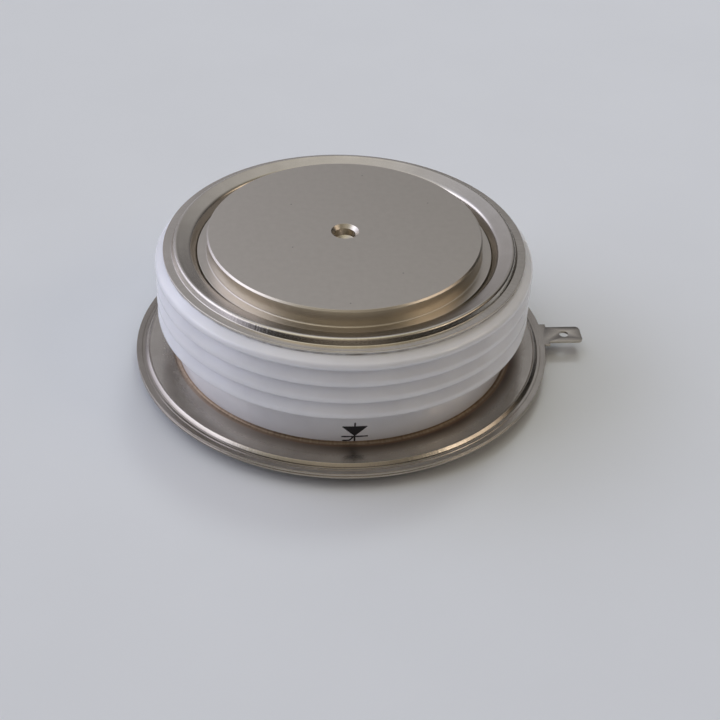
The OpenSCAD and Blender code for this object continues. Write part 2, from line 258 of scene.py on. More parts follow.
def inset_loop(loop, distance):
    """An anticlockwise closed outline, moved inwards."""
    moved = []
    for i, at in enumerate(loop):
        before = (at - loop[i - 1]).normalized()
        after = (loop[(i + 1) % len(loop)] - at).normalized()
        left = Vector((-before.y - after.y, before.x + after.x)).normalized()
        moved.append(at + left * distance / left.dot(Vector((-before.y, before.x))))
    return moved


def sheet_outline(top, under, t, edge_rounds):
    """Closed section of a sheet from its outer line and the line that its inner side follows.

    The sheared edge is rounded by the two radii, on the outer and on the inner side."""
    inner = moved_line(under, t)
    loop = [(p.x, p.y, 0) for p in top] + [(p.x, p.y, 0) for p in reversed(inner)]
    outer_edge = len(top) - 1
    for i, r in enumerate(edge_rounds):
        loop[outer_edge + i] = (*loop[outer_edge + i][:2], r)
    return rounded_loop(loop)


def ring_tree():
    """Geometry Nodes: turns a section about the axis into a ring, smooth but for sharp edges."""
    tree = bpy.data.node_groups.new("turned_ring", "GeometryNodeTree")
    sockets = tree.interface
    sockets.new_socket("Section", in_out="INPUT", socket_type="NodeSocketGeometry")
    sockets.new_socket("Segments", in_out="INPUT", socket_type="NodeSocketInt")
    sockets.new_socket("Path radius", in_out="INPUT", socket_type="NodeSocketFloat")
    sockets.new_socket("Sharp angle", in_out="INPUT", socket_type="NodeSocketFloat")
    sockets.new_socket("Finish", in_out="INPUT", socket_type="NodeSocketMaterial")
    sockets.new_socket("Ring", in_out="OUTPUT", socket_type="NodeSocketGeometry")
    given = add(tree, "NodeGroupInput").outputs
    section = add(tree, "GeometryNodeMeshToCurve", {"Mesh": given["Section"]})
    path = add(tree, "GeometryNodeCurvePrimitiveCircle",
               {"Resolution": given["Segments"], "Radius": given["Path radius"]})
    swept = add(tree, "GeometryNodeCurveToMesh",
                {"Curve": path.outputs["Curve"], "Profile Curve": section.outputs["Curve"]})
    welded = add(tree, "GeometryNodeMergeByDistance",
                 {"Geometry": swept.outputs["Mesh"], "Distance": 1e-6})
    smooth = add(tree, "GeometryNodeSetShadeSmooth",
                 {"Geometry": welded.outputs["Geometry"], "Shade Smooth": True})
    angle = add(tree, "GeometryNodeInputMeshEdgeAngle")
    sharp = add(tree, "FunctionNodeCompare",
                {0: angle.outputs["Unsigned Angle"], 1: given["Sharp angle"]},
                data_type="FLOAT", operation="GREATER_THAN")
    edged = add(tree, "GeometryNodeSetShadeSmooth",
                {"Geometry": smooth.outputs["Geometry"], "Selection": sharp.outputs["Result"],
                 "Shade Smooth": False}, domain="EDGE")
    real = add(tree, "GeometryNodeRealizeInstances", {"Geometry": edged.outputs["Geometry"]})
    finish = add(tree, "GeometryNodeSetMaterial",
                 {"Geometry": real.outputs["Geometry"], "Material": given["Finish"]})
    add(tree, "NodeGroupOutput", {"Ring": finish.outputs["Geometry"]})
    return tree


def run_tree(piece, tree, values):
    """Runs a tree on a piece with the named inputs and keeps the result as a plain mesh."""
    modifier = piece.modifiers.new(tree.name, "NODES")
    modifier.node_group = tree
    for name, value in values.items():
        modifier[tree.interface.items_tree[name].identifier] = value
    evaluated = piece.evaluated_get(bpy.context.evaluated_depsgraph_get())
    made = bpy.data.meshes.new_from_object(evaluated)
    piece.modifiers.remove(modifier)
    plain = piece.data
    piece.data = made
    made.name = piece.name
    bpy.data.meshes.remove(plain)
    face_outwards(made)
    return piece


def face_outwards(mesh):
    """Points every face of a closed mesh away from its inside."""
    work = bmesh.new()
    work.from_mesh(mesh)
    bmesh.ops.recalc_face_normals(work, faces=work.faces)
    work.to_mesh(mesh)
    work.free()


def mesh_piece(name, vertices, edges=(), faces=()):
    """A new object with the given mesh, at the origin."""
    mesh = bpy.data.meshes.new(name)
    mesh.from_pydata(vertices, edges, faces)
    piece = bpy.data.objects.new(name, mesh)
    bpy.context.scene.collection.objects.link(piece)
    return piece


def ring_piece(name, outline, finish, closed=True):
    """A ring turned from an outline of (radius, height) points in millimetres.

    The outline is swept along a circle about the axis, so its radii count from that circle."""
    path_r = 20
    points = [((p[0] - path_r) * MM, -p[1] * MM, 0) for p in outline]
    edges = [(i, i + 1) for i in range(len(points) - 1)]
    if closed:
        edges.append((len(points) - 1, 0))
    return run_tree(mesh_piece(name, points, edges), RING_TREE, {
        "Segments": RING_SEGMENTS, "Path radius": path_r * MM,
        "Sharp angle": SHARP_EDGE, "Finish": finish})


def cut_away(piece, tool, operation="DIFFERENCE"):
    """Takes a tool's solid out of a piece, or joins it on, and removes the tool."""
    modifier = piece.modifiers.new("cut", "BOOLEAN")
    modifier.operation = operation
    modifier.solver = "EXACT"
    modifier.object = tool
    evaluated = piece.evaluated_get(bpy.context.evaluated_depsgraph_get())
    made = bpy.data.meshes.new_from_object(evaluated)
    piece.modifiers.remove(modifier)
    piece.data = made
    made.name = piece.name
    bpy.data.objects.remove(tool)
    return piece


def rod(name, radius, low, high, place):
    """A round tool along its own Z from low to high, in millimetres, put in its place."""
    work = bmesh.new()
    bmesh.ops.create_cone(work, cap_ends=True, segments=ROD_SIDES, radius1=radius * MM,
                          radius2=radius * MM, depth=(high - low) * MM)
    bmesh.ops.translate(work, verts=work.verts, vec=(0, 0, (high + low) / 2 * MM))
    bmesh.ops.transform(work, verts=work.verts, matrix=place)
    piece = mesh_piece(name, [])
    work.to_mesh(piece.data)
    work.free()
    smooth_by_angle(piece.data)
    return piece


def smooth_by_angle(mesh):
    """Shades a mesh smooth, with its sharp edges kept."""
    mesh.shade_smooth()
    mesh.set_sharp_from_angle(angle=SHARP_EDGE)


def along_lead():
    """Puts what stands on Z along +Y, at the gate lead's height."""
    return Matrix.Translation((0, 0, gate_lead_h * MM)) @ Matrix.Rotation(-math.pi / 2, 4, "X")


def welded_copy(name, finish):
    """The CAD node's own mesh, merged and smoothed, as the piece that stands for it."""
    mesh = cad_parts[name].data.copy()
    work = bmesh.new()
    work.from_mesh(mesh)
    bmesh.ops.remove_doubles(work, verts=work.verts, dist=1e-7)
    bmesh.ops.dissolve_limit(work, angle_limit=math.radians(0.05), verts=work.verts,
                             edges=work.edges)
    bmesh.ops.recalc_face_normals(work, faces=work.faces)
    work.to_mesh(mesh)
    work.free()
    smooth_by_angle(mesh)
    piece = bpy.data.objects.new(name + "_finished", mesh)
    bpy.context.scene.collection.objects.link(piece)
    piece.data.materials.clear()
    piece.data.materials.append(finish)
    return piece


def settle(piece, node):
    """Puts a finished piece on the capsule in place of its node."""
    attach(piece, BODY)
    if node:
        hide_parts(node)
    return piece


def new_material(name, **surface):
    """A material with its shader's own values set."""
    material = bpy.data.materials.new(name)
    material.use_nodes = True
    shader = material.node_tree.nodes["Principled BSDF"]
    for socket, value in surface.items():
        shader.inputs[socket.replace("_", " ")].default_value = value
    return material, material.node_tree, shader


def product(tree, first, second):
    """Two values multiplied."""
    return add(tree, "ShaderNodeMath", {0: first, 1: second}, operation="MULTIPLY").outputs[0]


def from_axis(tree):
    """A place's distance from the capsule's axis, its direction from it, and its X, Y and Z."""
    place = add(tree, "ShaderNodeTexCoord").outputs["Object"]
    parts = add(tree, "ShaderNodeSeparateXYZ", {0: place}).outputs
    flat = add(tree, "ShaderNodeCombineXYZ", {0: parts[0], 1: parts[1]}).outputs[0]
    radius = add(tree, "ShaderNodeVectorMath", {0: flat}, operation="LENGTH").outputs["Value"]
    way = add(tree, "ShaderNodeVectorMath", {0: flat}, operation="NORMALIZE").outputs["Vector"]
    return radius, way, parts


def reach_towards(tree, side):
    """How far a place lies from the axis towards one side, in metres."""
    place = add(tree, "ShaderNodeTexCoord").outputs["Object"]
    return add(tree, "ShaderNodeVectorMath", {0: place, 1: side},
               operation="DOT_PRODUCT").outputs["Value"]


def above(tree, parts, height_mm):
    """A share that is 1 above a height and 0 below it."""
    return add(tree, "ShaderNodeMath", {0: parts[2], 1: height_mm * MM},
               operation="GREATER_THAN").outputs[0]


def streaks(tree, round_axis, outwards, upwards):
    """Streaks about the axis, as a value from 0 to 1.

    The three numbers are turns of the pattern per millimetre round the axis, outwards and
    upwards; a low one stretches the pattern that way."""
    usual_radius = 30
    radius, way, parts = from_axis(tree)
    spread = add(tree, "ShaderNodeVectorMath", {0: way, 3: usual_radius * round_axis},
                 operation="SCALE").outputs["Vector"]
    out = product(tree, radius, outwards / MM)
    up = product(tree, parts[2], upwards / MM)
    lift = add(tree, "ShaderNodeCombineXYZ", {2: out}).outputs[0]
    vector = add(tree, "ShaderNodeVectorMath", {0: spread, 1: lift}).outputs["Vector"]
    return add(tree, "ShaderNodeTexNoise", {"Vector": vector, "W": up, "Scale": 1.0, "Detail": 3},
               noise_dimensions="4D").outputs["Fac"]


def speckle(tree, size_mm, detail=2):
    """An even mottle with spots of about the given size."""
    place = add(tree, "ShaderNodeTexCoord").outputs["Object"]
    return add(tree, "ShaderNodeTexNoise", {"Vector": place, "Scale": 1 / (size_mm * MM),
               "Detail": detail}).outputs["Fac"]


def ranged(tree, value, low, high, start=0.3, end=0.7):
    """Stretches a pattern from start..end to low..high."""
    return add(tree, "ShaderNodeMapRange", {"Value": value, "From Min": start, "From Max": end,
               "To Min": low, "To Max": high}).outputs["Result"]


def blended(tree, share, first, second):
    """One colour turning into another as share goes from 0 to 1."""
    return add(tree, "ShaderNodeMix", {0: share, 6: first, 7: second}, data_type="RGBA").outputs[2]


def mixed(tree, share, first, second):
    """One number turning into another as share goes from 0 to 1."""
    return add(tree, "ShaderNodeMix", {0: share, 2: first, 3: second}).outputs[0]


def mottled(tree, pattern, light, dark):
    """Two hex colours mixed by a pattern."""
    return blended(tree, ranged(tree, pattern, 0, 1), linear(light), linear(dark))


def bumped(tree, height, depth_mm, under=None):
    """A normal with the height's relief, of the given depth, over another normal if given."""
    inputs = {"Height": height, "Distance": depth_mm * MM, "Strength": 1.0}
    if under is not None:
        inputs["Normal"] = under
    return add(tree, "ShaderNodeBump", inputs).outputs["Normal"]


def band_share(tree, value, start_mm, end_mm):
    """A share that goes smoothly from 1 to 0 as a length in metres grows from start to end."""
    return add(tree, "ShaderNodeMapRange", {"Value": value, "From Min": start_mm * MM,
               "From Max": end_mm * MM, "To Min": 1.0, "To Max": 0.0},
               interpolation_type="SMOOTHSTEP").outputs["Result"]


def specks(tree, spacing_mm, size_mm):
    """Sparse dirt specks seen from above, as a share: one for each patch of the given spacing."""
    place = add(tree, "ShaderNodeTexCoord").outputs["Object"]
    cells = add(tree, "ShaderNodeTexVoronoi", {"Vector": place, "Scale": 1 / (spacing_mm * MM)},
                voronoi_dimensions="2D").outputs["Distance"]
    edge = size_mm / spacing_mm / 2
    return add(tree, "ShaderNodeMapRange", {"Value": cells, "From Min": edge * 0.6,
               "From Max": edge, "To Min": 1.0, "To Max": 0.0}).outputs["Result"]


def nickel_on_turned_copper():
    """Electroplated nickel over turned copper: lapped faces an even satin, turned walls brighter.

    The lapping leaves a fine grain, drawn 0.12 mm coarse to show, and the tool leaves rings
    about 0.2 mm apart. A few dirt specks lie on the upper face."""
    material, tree, shader = new_material("nickel_plate_on_lapped_copper", Metallic=1.0)
    _, _, parts = from_axis(tree)
    face = above(tree, parts, capsule_h - lapped_skin)
    rings = streaks(tree, round_axis=0.02, outwards=5.0, upwards=5.0)
    grain = speckle(tree, 0.12)
    tone = mottled(tree, speckle(tree, 1.2, detail=4), "#ccc4b7", "#c8c0b3")
    dirt = product(tree, product(tree, specks(tree, spacing_mm=17, size_mm=0.28), face), 0.7)
    tone = blended(tree, dirt, tone, linear("#4a433b"))
    tree.links.new(tone, shader.inputs["Base Color"])
    lapped = ranged(tree, grain, 0.33, 0.41)
    bright = ranged(tree, rings, 0.28, 0.37)
    tree.links.new(mixed(tree, face, bright, lapped), shader.inputs["Roughness"])
    relief = bumped(tree, grain, 0.0015, under=bumped(tree, rings, 0.004))
    tree.links.new(relief, shader.inputs["Normal"])
    return material


def nickel_on_drawn_sheet(name, light, dark, hatch_from_mm, brazed=False):
    """Electroplated nickel over a drawn sheet: bright satin with the die's streaks round it.

    The streaks lie about 0.3 mm apart, the plate's grain is drawn 0.15 mm coarse to show, and
    from a radius outwards the die leaves fine hatching across the ring. On a brazed flange the
    hatching stays in front, and painted shade darkens the sheet: brown beside the insulator,
    deepest at the right front, and duller on the rim at the left."""
    material, tree, shader = new_material(name, Metallic=1.0)
    radius, _, _ = from_axis(tree)
    die = streaks(tree, round_axis=0.05, outwards=3.0, upwards=3.0)
    tone = mottled(tree, speckle(tree, 4, detail=4), light, dark)
    tone = blended(tree, ranged(tree, die, 0, 0.35), tone, linear(dark))
    rough = ranged(tree, speckle(tree, 0.15), 0.19, 0.27)
    across = ranged(tree, radius, 0, 1, (hatch_from_mm - 0.5) * MM, hatch_from_mm * MM)
    if brazed:
        side = reach_towards(tree, painted_shade_side)
        # Painted shade: the rim is made darker at the left, in place of a dimmer reflection there
        rim_painted_shade = product(tree, ranged(tree, radius, 0.0, 0.55, *(r * MM for r in rim_painted_shade_radii)),
                         ranged(tree, side, 1.0, 0.0, 0.0, 28 * MM))
        tone = blended(tree, rim_painted_shade, tone, linear("#857c71"))
        # Painted shade: brown darkening beside the insulator's foot, deepest at the right front,
        # away from the window
        cloud = ranged(tree, streaks(tree, round_axis=0.12, outwards=0.15, upwards=0.15), 0.8, 1.0)
        uneven = ranged(tree, side, 0.15, 1.0, -15 * MM, 25 * MM)
        tint = product(tree, product(tree, band_share(tree, radius, *foot_painted_shade_radii), cloud), uneven)
        tone = blended(tree, tint, tone, linear("#66584e"))
        strip = band_share(tree, radius, *brazed_strip)
        tone = blended(tree, product(tree, strip, 0.6), tone, linear("#9a7f66"))
        rough = mixed(tree, tint, rough, 0.5)
        front = reach_towards(tree, hatch_side)
        across = product(tree, across, ranged(tree, front, 0.1, 1.0, 24 * MM, 34 * MM))
    tree.links.new(tone, shader.inputs["Base Color"])
    tree.links.new(rough, shader.inputs["Roughness"])
    hatch = product(tree, streaks(tree, round_axis=3.2, outwards=0.12, upwards=0.12), across)
    relief = bumped(tree, hatch, 0.035, under=bumped(tree, die, 0.005))
    tree.links.new(relief, shader.inputs["Normal"])
    return material


def glazed_alumina():
    """Fired alumina under a clear glaze: a cool porcelain white with a wet gloss.

    A thin brown line of braze flux stays on it along the anode sheet's rim."""
    material, tree, shader = new_material(
        "porcelain_glaze_on_alumina", Roughness=0.5, IOR=1.55, Coat_Weight=1.0,
        Coat_Roughness=0.05, Coat_IOR=1.55, Subsurface_Weight=0.15, Subsurface_Scale=0.8 * MM)
    shader.inputs["Subsurface Radius"].default_value = (1.0, 0.9, 0.8)
    tone = mottled(tree, speckle(tree, 6, detail=3), "#ebebee", "#e4e4e8")
    radius, _, parts = from_axis(tree)
    under_rim = band_share(tree, radius, *flux_line)
    stains = ranged(tree, streaks(tree, round_axis=0.5, outwards=0.3, upwards=0.3), 0.0, 0.8)
    flux = product(tree, product(tree, under_rim, above(tree, parts, ceramic_top - flux_h)), stains)
    tone = blended(tree, flux, tone, linear("#6f614c"))
    tree.links.new(tone, shader.inputs["Base Color"])
    relief = bumped(tree, streaks(tree, round_axis=0.06, outwards=0.5, upwards=0.5), 0.025)
    tree.links.new(relief, shader.inputs["Normal"])
    tree.links.new(relief, shader.inputs["Coat Normal"])
    return material


def marking_ink():
    """Jetted black ink: matt dots, a little paler where they are thin."""
    material, tree, shader = new_material("jetted_black_ink", Roughness=0.55, IOR=1.5)
    tone = mottled(tree, speckle(tree, 0.3), "#16141a", "#232026")
    tree.links.new(tone, shader.inputs["Base Color"])
    return material


def braze_alloy():
    """Silver-copper braze under thin nickel: a pale golden bead with a soft skin."""
    material, tree, shader = new_material("nickel_washed_braze", Metallic=1.0)
    ripple = streaks(tree, round_axis=2.2, outwards=0.3, upwards=0.3)
    tree.links.new(mottled(tree, ripple, "#a8957f", "#8a7866"), shader.inputs["Base Color"])
    tree.links.new(ranged(tree, ripple, 0.36, 0.42), shader.inputs["Roughness"])
    tree.links.new(bumped(tree, ripple, 0.006), shader.inputs["Normal"])
    return material


def plain_stock(name, light, dark, grain_mm, roughness, metallic, depth_mm):
    """A plain finish for the pieces inside: an even colour with a fine grain."""
    material, tree, shader = new_material(name, Metallic=metallic)
    grain = speckle(tree, grain_mm, detail=3)
    rough = ranged(tree, grain, roughness - 0.05, roughness + 0.05)
    tree.links.new(mottled(tree, grain, light, dark), shader.inputs["Base Color"])
    tree.links.new(rough, shader.inputs["Roughness"])
    tree.links.new(bumped(tree, grain, depth_mm), shader.inputs["Normal"])
    return material


def paper_floor():
    """Smooth pale card: matt, with a faint cool cast."""
    material, tree, shader = new_material("pale_card", Roughness=0.9)
    tone = mottled(tree, speckle(tree, 30, detail=3), "#dfe2e6", "#dde0e4")
    tree.links.new(tone, shader.inputs["Base Color"])
    return material


RING_TREE = ring_tree()
turned_nickel = nickel_on_turned_copper()
sheet_nickel = nickel_on_drawn_sheet(
    "nickel_plate_on_drawn_sheet", "#cfc7ba", "#c3bbae", hatch_from_mm=29.5)
flange_nickel = nickel_on_drawn_sheet(
    "nickel_plate_on_brazed_flange", "#c3bbaf", "#b4aca0", hatch_from_mm=35.6, brazed=True)
glaze = glazed_alumina()
braze = braze_alloy()
ink = marking_ink()


def pole_outline(length):
    """Section of a pole piece, its face at height 0, from the hole's tip round to the inner end."""
    sink_h = countersink_r - centring_r
    return rounded_line([
        (0, -centring_depth - drill_tip_h, 0),
        (centring_r, -centring_depth, 0),
        (centring_r, -sink_h, turned_edge_r),
        (countersink_r, 0, turned_edge_r),
        (face_r - face_chamfer, 0, face_edge_r),
        (face_r, -face_chamfer, face_edge_r),
        (face_r, -shoulder_depth, shoulder_foot_r),
        (shoulder_r, -shoulder_depth, face_edge_r),
        (shoulder_r, -shoulder_depth - shoulder_t, 0),
        (neck_r, -shoulder_depth - shoulder_t, 0),
        (neck_r, pole_step_h - length, 0),
        (stack_r, pole_step_h - length, 0),
        (stack_r, -length, turned_edge_r),
        (0, -length, 0)])


def convolution():
    """Outer line of a diaphragm from the pole piece to its crest, contact face at height 0."""
    bed = -shoulder_depth - shoulder_t
    return [(neck_r, bed, 0), (groove_r, bed, groove_corner_r), groove_wall, lip, crest]


def weld_edge(seam):
    """Outer line of a sheet's welded edge that lies on a seam at the given height."""
    rim = seam + cathode_sheet_t
    return [(weld_foot_r - weld_step_w, rim + flange_dish, weld_step_round),
            (weld_foot_r, rim, weld_foot_round), (flange_r, rim, 0)]


def coined_ridge(seam):
    """Outer line over the ridge that the welding die leaves beside the seam, and out to the rim."""
    rim = seam + cathode_sheet_t
    top = rim + flange_dish
    ridge = [(ridge_foot_r, top, ridge_round)]
    ridge += [(r, top + ridge_h, ridge_round) for r in ridge_crest_r]
    ridge += [(ridge_flank_r, top - ridge_flank_drop, ridge_flank_round),
              (weld_foot_r - ridge_toe_w, rim, ridge_toe_round)]
    die_line = [(die_line_r + step * die_line_h, rim - sunk, 0)
                for step, sunk in enumerate((0, die_line_h, die_line_h, 0))]
    return ridge + die_line + [(flange_r, rim, 0)]


def anode_pole_piece():
    outline = [(p.x, p.y + capsule_h) for p in pole_outline(anode_pole_l)]
    return ring_piece("anode_pole_turned", outline, turned_nickel, closed=False)


def cathode_pole_piece():
    outline = [(p.x, -p.y) for p in pole_outline(cathode_pole_l)]
    piece = ring_piece("cathode_pole_turned", outline, turned_nickel, closed=False)
    cut_away(piece, rod("recess", cup_r, cup_floor_z, capsule_h, Matrix()))
    low, high = slot_floor_z * MM, capsule_h * MM
    half, reach = slot_w / 2 * MM, slot_reach * MM
    corners = [(x, y, z) for z in (low, high)
               for x, y in ((-half, 0), (half, 0), (half, reach), (-half, reach))]
    slot = mesh_piece("slot", corners, faces=[
        (0, 3, 2, 1), (4, 5, 6, 7), (0, 1, 5, 4), (1, 2, 6, 5), (2, 3, 7, 6), (3, 0, 4, 7)])
    return cut_away(piece, slot)


def anode_diaphragm():
    line = rounded_line(convolution() + list(anode_rim))
    outline = sheet_outline(line, line, anode_sheet_t, rim_edge_rounds)
    standing = [(p.x, p.y + capsule_h) for p in outline]
    return ring_piece("anode_diaphragm_drawn", standing, sheet_nickel)


def cathode_diaphragm():
    foot = [(crest_foot_r, cathode_sheet_t + flange_dish - seam_h, crest_foot_round)]
    plain = rounded_line(convolution() + foot + weld_edge(-seam_h))
    ridged = rounded_line(convolution() + foot + coined_ridge(-seam_h))
    outline = sheet_outline(ridged, plain, cathode_sheet_t, welded_edge_rounds)
    return ring_piece("cathode_diaphragm_drawn", [(p.x, -p.y) for p in outline], flange_nickel)


def blade_outline(start, stem_w):
    """Outline of a blade terminal along +X, anticlockwise from the inner end of its lower side."""
    tip = blade_tip
    half = blade_w / 2
    points = [(start, -stem_w / 2, 0)]
    if stem_w < root_w:
        points.append((root_reach - root_depth, -stem_w / 2, stem_corner_round))
        points.append((root_reach - root_depth, -root_w / 2, root_corner_round))
    points += [(root_reach, -root_w / 2, root_corner_round),
               (root_reach, -half, root_corner_round), (tip, -half, blade_corner_r)]
    mirrored = [(x, -y, r) for x, y, r in reversed(points)]
    return rounded_loop(points + mirrored)


def blade_plate(name, start, stem_w, low, high, turn):
    """A punched blade terminal with its latching hole, its edges a little rounded.

    It is stacked in rows from its lower face to its upper one, each an outline and a hole."""
    outline = blade_outline(start, stem_w)
    hole_x = root_reach + blade_hole_reach
    bend = blade_edge_r * (1 - math.sqrt(0.5))
    rows = [(low, blade_edge_r), (low + bend, bend), (low + blade_edge_r, 0),
            (high - blade_edge_r, 0), (high - bend, bend), (high, blade_edge_r)]
    placed = Matrix.Rotation(turn, 3, "Z") * MM
    points = []
    for height, inset in rows:
        ring = [(blade_hole_r + inset, 2 * math.pi * i / HOLE_SIDES) for i in range(HOLE_SIDES)]
        hole = [(hole_x + r * math.cos(a), r * math.sin(a)) for r, a in ring]
        points += [placed @ Vector((x, y, height)) for x, y in inset_loop(outline, inset) + hole]
    rim_count, row_count = len(outline), len(outline) + HOLE_SIDES
    faces = []
    for foot in range(0, len(points) - row_count, row_count):
        for loop in (range(rim_count), range(row_count - 1, rim_count - 1, -1)):
            faces += [(foot + a, foot + b, foot + row_count + b, foot + row_count + a)
                      for a, b in zip(loop, [*loop[1:], loop[0]])]
    upper = points[-row_count:]
    for face in tessellate_polygon([upper[:rim_count], upper[rim_count:]]):
        faces.append(face)
        faces.append([i + len(points) - row_count for i in face])
    piece = mesh_piece(name, points, faces=faces)
    face_outwards(piece.data)
    smooth_by_angle(piece.data)
    return piece


def cathode_weld_flange():
    top = seam_h + cathode_sheet_t + flange_dish
    inner = [(flange_bore_r, top, 0)]
    plain = rounded_line(inner + weld_edge(seam_h))
    ridged = rounded_line(inner + coined_ridge(seam_h))
    outline = sheet_outline(ridged, plain, cathode_sheet_t, welded_edge_rounds)
    piece = ring_piece("cathode_flange_drawn", outline, flange_nickel)
    plate = blade_plate("blade", cathode_blade_start, root_w, seam_h, seam_h + blade_t,
                        cathode_blade_angle)
    plate.data.materials.append(flange_nickel)
    return cut_away(piece, plate, "UNION")


def gate_terminal():
    piece = blade_plate("gate_terminal_punched", gate_stem_start, gate_stem_w, gate_h,
                        gate_h + gate_blade_t, math.pi / 2)
    piece.data.materials.append(sheet_nickel)
    return piece


def fin_edge(k):
    """Height of the lower edge of fin k, counted down from the top."""
    return ceramic_top - end_neck_h - end_slope_h - fin_land - k * fin_pitch


def ceramic_insulator():
    points = [(bore_r, ceramic_bottom, ground_corner_round),
              (band_r, ceramic_bottom, ground_corner_round),
              (band_r, fin_edge(fin_count - 1) + lowest_underside_rise, lowest_root_round)]
    for k in range(fin_count - 1, 0, -1):
        edge = fin_edge(k)
        points += [(fin_r, edge, fin_edge_round), (fin_r, edge + fin_land, fin_shoulder_round),
                   (groove_between_fins_r, edge + fin_land + fin_slope_h, fin_root_round),
                   (groove_between_fins_r, fin_edge(k - 1) + fin_underside_rise, fin_root_round)]
    edge = fin_edge(0)
    points += [(fin_r, edge, fin_edge_round), (fin_r, edge + fin_land, end_shoulder_round),
               (end_neck_r, edge + fin_land + end_slope_h, end_neck_round),
               (end_neck_r, ceramic_top, 0), (bore_r, ceramic_top, ground_corner_round)]
    piece = ring_piece("insulator_glazed", rounded_loop(points), glaze)
    outside = band_r + TOOL_OVERRUN
    cut_away(piece, rod("gate_hole", gate_hole_r, bore_r - TOOL_OVERRUN, outside, along_lead()))
    return cut_away(piece, rod("spotface", spotface_r, spotface_y, outside, along_lead()))


settle(anode_pole_piece(), "anode_pole_piece")
settle(anode_diaphragm(), "anode_diaphragm")
settle(ceramic_insulator(), "ceramic_insulator")
settle(cathode_weld_flange(), "cathode_weld_flange")
settle(cathode_diaphragm(), "cathode_diaphragm")
settle(cathode_pole_piece(), "cathode_pole_piece")
settle(gate_terminal(), "gate_terminal")
for node in ("gate_eyelet", "gate_pin"):
    settle(welded_copy(node, sheet_nickel), node)

# Pieces sealed inside keep their solids and get the finish of their stock: two colours, grain in
# millimetres, roughness, metallic and relief in millimetres, then the nodes made of it
INNER_STOCK = {
    "ground_molybdenum": (("#8c8f94", "#7f8287", 0.2, 0.45, 1.0, 0.003),
                          ("anode_molybdenum_disc", "cathode_molybdenum_disc", "gate_contact")),
    "polished_metallised_silicon": (("#5b626e", "#505764", 0.1, 0.2, 1.0, 0.001),
                                    ("silicon_wafer",)),
    "cast_silicone": (("#8a3b2c", "#7c3326", 0.6, 0.55, 0.0, 0.01), ("wafer_edge_seal",)),
    "turned_fluoropolymer": (("#e8e6e0", "#dfdcd5", 0.4, 0.5, 0.0, 0.005),
                             ("centring_ring", "gate_lead_sleeve", "gate_insulator_cup")),
    "drawn_silver_plated_wire": (("#d6d2ca", "#c4bfb5", 0.15, 0.3, 1.0, 0.002), ("gate_lead",)),
    "wound_spring_steel": (("#a8a8a6", "#94938f", 0.15, 0.35, 1.0, 0.002),
                           ("gate_spring_washer", "gate_spring")),
}
for stock, (look, nodes) in INNER_STOCK.items():
    finish = plain_stock(stock, *look)
    for node in nodes:
        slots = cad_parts[node].data.materials
        slots.clear()
        slots.append(finish)


def marking_tree():
    """Geometry Nodes: lays a dot on each flat point and wraps them round the insulator's band."""
    tree = bpy.data.node_groups.new("jetted_marking", "GeometryNodeTree")
    sockets = tree.interface
    sockets.new_socket("Raster", in_out="INPUT", socket_type="NodeSocketGeometry")
    sockets.new_socket("Dot radius", in_out="INPUT", socket_type="NodeSocketFloat")
    sockets.new_socket("Ink height", in_out="INPUT", socket_type="NodeSocketFloat")
    sockets.new_socket("Band radius", in_out="INPUT", socket_type="NodeSocketFloat")
    sockets.new_socket("Direction", in_out="INPUT", socket_type="NodeSocketFloat")
    sockets.new_socket("Ink", in_out="INPUT", socket_type="NodeSocketMaterial")
    sockets.new_socket("Marking", in_out="OUTPUT", socket_type="NodeSocketGeometry")
    given = add(tree, "NodeGroupInput").outputs
    points = add(tree, "GeometryNodeMeshToPoints", {"Mesh": given["Raster"]})
    dot = add(tree, "GeometryNodeMeshCylinder",
              {"Vertices": 10, "Radius": given["Dot radius"], "Depth": given["Ink height"]})
    size = add(tree, "FunctionNodeRandomValue", {2: 0.88, 3: 1.12, "Seed": 3}, data_type="FLOAT")
    wide = add(tree, "ShaderNodeCombineXYZ", {0: size.outputs[1], 1: size.outputs[1], 2: 1.0})
    dots = add(tree, "GeometryNodeInstanceOnPoints",
               {"Points": points.outputs[0], "Instance": dot.outputs["Mesh"],
                "Rotation": (math.pi / 2, 0, 0), "Scale": wide.outputs[0]})
    real = add(tree, "GeometryNodeRealizeInstances", {"Geometry": dots.outputs["Instances"]})
    position = add(tree, "GeometryNodeInputPosition").outputs[0]
    place = add(tree, "ShaderNodeSeparateXYZ", {0: position})
    arc = add(tree, "ShaderNodeMath", {0: place.outputs[0], 1: given["Band radius"]},
              operation="DIVIDE")
    angle = add(tree, "ShaderNodeMath", {0: arc.outputs[0], 1: given["Direction"]})
    radius = add(tree, "ShaderNodeMath", {0: given["Band radius"], 1: place.outputs[1]},
                 operation="SUBTRACT")
    turn = {way: add(tree, "ShaderNodeMath", {0: angle.outputs[0]}, operation=way).outputs[0]
            for way in ("COSINE", "SINE")}
    x = add(tree, "ShaderNodeMath", {0: radius.outputs[0], 1: turn["COSINE"]}, operation="MULTIPLY")
    y = add(tree, "ShaderNodeMath", {0: radius.outputs[0], 1: turn["SINE"]}, operation="MULTIPLY")
    wrapped = add(tree, "ShaderNodeCombineXYZ",
                  {0: x.outputs[0], 1: y.outputs[0], 2: place.outputs[2]})
    bent = add(tree, "GeometryNodeSetPosition",
               {"Geometry": real.outputs["Geometry"], "Position": wrapped.outputs[0]})
    inked = add(tree, "GeometryNodeSetMaterial",
                {"Geometry": bent.outputs["Geometry"], "Material": given["Ink"]})
    add(tree, "NodeGroupOutput", {"Marking": inked.outputs["Geometry"]})
    return tree


